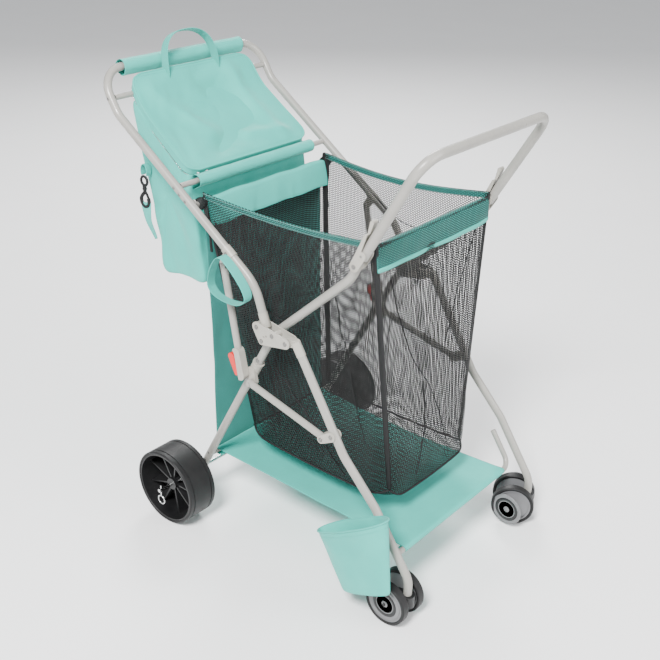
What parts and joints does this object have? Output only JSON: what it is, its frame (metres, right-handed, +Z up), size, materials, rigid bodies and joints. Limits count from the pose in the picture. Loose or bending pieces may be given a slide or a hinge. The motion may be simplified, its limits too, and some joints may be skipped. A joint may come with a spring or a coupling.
{
  "type": "folding beach cart",
  "caption": "Folding tubular beach cart with mesh basket, tote bag, fold-down push handle, wide wheels and swivel casters.",
  "frame": {"origin": "on the ground, under the middle of the cart's box", "axes": "+X from the big wheels towards the casters and the push handle, +Z up, Y across"},
  "size_m": [0.9644, 0.742, 1.1077],
  "materials": {
    "frame": "warm grey powder coat, satin",
    "bracket": "moulded cream plastic",
    "rivet": "plain steel",
    "lever_red": "moulded red plastic",
    "wheel_black": "moulded black plastic",
    "tyre_black": "black tyre, matt",
    "caster_grey": "grey moulded disc",
    "aqua_cloth": "woven polyester",
    "mesh_black": "open polyester mesh, bound edges",
    "hook_black": "moulded black plastic",
    "handle_tube": "light grey powder coat, satin"
  },
  "bodies": {
    "chassis": {"post_left": "frame", "post_right": "frame", "hub_brackets": "bracket", "chassis_rivets": "rivet", "axle_rod": "rivet", "rear_bar": "frame", "basket_front_bar": "frame", "handle_joint_left": "bracket", "handle_joint_right": "bracket", "wheel_pin_left": "rivet", "wheel_pin_right": "rivet", "basket": "mesh_black", "back_panel": "aqua_cloth", "bottom_sheet": "aqua_cloth"},
    "rail_frame": {"rail_tube": "frame", "rail_ends": "bracket", "strut_collars": "bracket", "rail_rivets": "rivet", "bag_bar": "frame", "lid_bar": "frame", "basket_back_bar": "frame", "bar_sleeves": "aqua_cloth", "tote_bag": "aqua_cloth", "bag_straps": "aqua_cloth", "snap_hook": "hook_black", "umbrella_loop": "aqua_cloth"},
    "front_frame": {"front_leg_left": "frame", "front_leg_right": "frame", "leg_ends": "bracket", "front_bar": "frame", "brace_brackets": "bracket", "front_rivets": "rivet", "umbrella_pouch": "aqua_cloth"},
    "handle": {"handle_bar": "handle_tube"},
    "runner_left": {"runner_left": "bracket"},
    "strut_left": {"strut_left": "frame", "latch_housing_left": "bracket"},
    "latch_lever_left": {"latch_lever_left": "lever_red"},
    "brace_left": {"brace_left": "frame"},
    "handle_latch_left": {"handle_latch_left": "bracket"},
    "wheel_left": {"wheel_tyre_left": "tyre_black", "wheel_hub_left": "wheel_black"},
    "caster_left": {"caster_fork_left": "wheel_black"},
    "caster_wheel_left_outer": {"caster_tyre_left_outer": "tyre_black", "caster_hub_left_outer": "caster_grey"},
    "caster_wheel_left_inner": {"caster_tyre_left_inner": "tyre_black", "caster_hub_left_inner": "caster_grey"},
    "runner_right": {"runner_right": "bracket"},
    "strut_right": {"strut_right": "frame", "latch_housing_right": "bracket"},
    "latch_lever_right": {"latch_lever_right": "lever_red"},
    "brace_right": {"brace_right": "frame"},
    "handle_latch_right": {"handle_latch_right": "bracket"},
    "wheel_right": {"wheel_tyre_right": "tyre_black", "wheel_hub_right": "wheel_black"},
    "caster_right": {"caster_fork_right": "wheel_black"},
    "caster_wheel_right_outer": {"caster_tyre_right_outer": "tyre_black", "caster_hub_right_outer": "caster_grey"},
    "caster_wheel_right_inner": {"caster_tyre_right_inner": "tyre_black", "caster_hub_right_inner": "caster_grey"}
  },
  "joints": [
    {"name": "rail_fold", "type": "hinge", "parent": "chassis", "child": "rail_frame", "pos_m": [0.02164, 0, 0.576], "axis": [0, 1, 0], "range_deg": [0, 72], "deforming": ["basket", "back_panel"]},
    {"name": "leg_fold", "type": "hinge", "parent": "chassis", "child": "front_frame", "pos_m": [0.10464, 0, 0.563], "axis": [0, 1, 0], "range_deg": [0, 45], "deforming": ["bottom_sheet"]},
    {"name": "handle_fold", "type": "hinge", "parent": "chassis", "child": "handle", "pos_m": [0.28164, 0, 0.806], "axis": [0, 1, 0], "range_deg": [0, 126]},
    {"name": "strut_swing_left", "type": "hinge", "parent": "rail_frame", "child": "strut_left", "pos_m": [-0.08897, -0.249, 0.69005], "axis": [0, 1, 0], "range_deg": [0, 140]},
    {"name": "brace_swing_left", "type": "hinge", "parent": "front_frame", "child": "brace_left", "pos_m": [0.2058, -0.249, 0.36694], "axis": [0, 1, 0], "range_deg": [-110, 0]},
    {"name": "runner_slide_left", "type": "slide", "parent": "chassis", "child": "runner_left", "axis": [-0.4755, 0, -0.8797], "range_m": [0, 0.26]},
    {"name": "latch_pull_left", "type": "hinge", "parent": "strut_left", "child": "latch_lever_left", "pos_m": [-0.04939, -0.249, 0.43328], "axis": [0, -1, 0], "range_deg": [0, 15], "stiffness_Nm_per_rad": 0.05},
    {"name": "handle_latch_pull_left", "type": "hinge", "parent": "chassis", "child": "handle_latch_left", "pos_m": [0.29439, -0.225, 0.85707], "axis": [0, -1, 0], "range_deg": [0, 20], "stiffness_Nm_per_rad": 0.03},
    {"name": "wheel_spin_left", "type": "hinge", "parent": "chassis", "child": "wheel_left", "pos_m": [-0.20836, -0.315, 0.095], "axis": [0, 1, 0], "continuous": true},
    {"name": "caster_swivel_left", "type": "hinge", "parent": "front_frame", "child": "caster_left", "pos_m": [0.44864, -0.249, 0.06], "axis": [0, 0, 1], "continuous": true, "deforming": ["umbrella_pouch"]},
    {"name": "caster_spin_left_outer", "type": "hinge", "parent": "caster_left", "child": "caster_wheel_left_outer", "pos_m": [0.41564, -0.277, 0.052], "axis": [0, -1, 0], "continuous": true},
    {"name": "caster_spin_left_inner", "type": "hinge", "parent": "caster_left", "child": "caster_wheel_left_inner", "pos_m": [0.41564, -0.221, 0.052], "axis": [0, -1, 0], "continuous": true},
    {"name": "strut_swing_right", "type": "hinge", "parent": "rail_frame", "child": "strut_right", "pos_m": [-0.08897, 0.249, 0.69005], "axis": [0, 1, 0], "range_deg": [0, 140]},
    {"name": "brace_swing_right", "type": "hinge", "parent": "front_frame", "child": "brace_right", "pos_m": [0.2058, 0.249, 0.36694], "axis": [0, 1, 0], "range_deg": [-110, 0]},
    {"name": "runner_slide_right", "type": "slide", "parent": "chassis", "child": "runner_right", "axis": [-0.4755, 0, -0.8797], "range_m": [0, 0.26]},
    {"name": "latch_pull_right", "type": "hinge", "parent": "strut_right", "child": "latch_lever_right", "pos_m": [-0.04939, 0.249, 0.43328], "axis": [0, -1, 0], "range_deg": [0, 15], "stiffness_Nm_per_rad": 0.05},
    {"name": "handle_latch_pull_right", "type": "hinge", "parent": "chassis", "child": "handle_latch_right", "pos_m": [0.29439, 0.225, 0.85707], "axis": [0, -1, 0], "range_deg": [0, 20], "stiffness_Nm_per_rad": 0.03},
    {"name": "wheel_spin_right", "type": "hinge", "parent": "chassis", "child": "wheel_right", "pos_m": [-0.20836, 0.315, 0.095], "axis": [0, 1, 0], "continuous": true},
    {"name": "caster_swivel_right", "type": "hinge", "parent": "front_frame", "child": "caster_right", "pos_m": [0.44864, 0.249, 0.06], "axis": [0, 0, 1], "continuous": true},
    {"name": "caster_spin_right_outer", "type": "hinge", "parent": "caster_right", "child": "caster_wheel_right_outer", "pos_m": [0.40636, 0.25823, 0.052], "axis": [-0.4695, 0.8829, 0], "continuous": true},
    {"name": "caster_spin_right_inner", "type": "hinge", "parent": "caster_right", "child": "caster_wheel_right_inner", "pos_m": [0.43265, 0.20878, 0.052], "axis": [-0.4695, 0.8829, 0], "continuous": true}
  ],
  "couplings": [
    {"joint": "strut_swing_left", "follows": "rail_fold", "ratio": 1.725},
    {"joint": "brace_swing_left", "follows": "leg_fold", "ratio": -2.2237},
    {"joint": "runner_slide_left", "follows": "leg_fold", "m_per_rad": 0.31139},
    {"joint": "strut_swing_right", "follows": "rail_fold", "ratio": 1.725},
    {"joint": "brace_swing_right", "follows": "leg_fold", "ratio": -2.2237},
    {"joint": "runner_slide_right", "follows": "leg_fold", "m_per_rad": 0.31139}
  ]
}
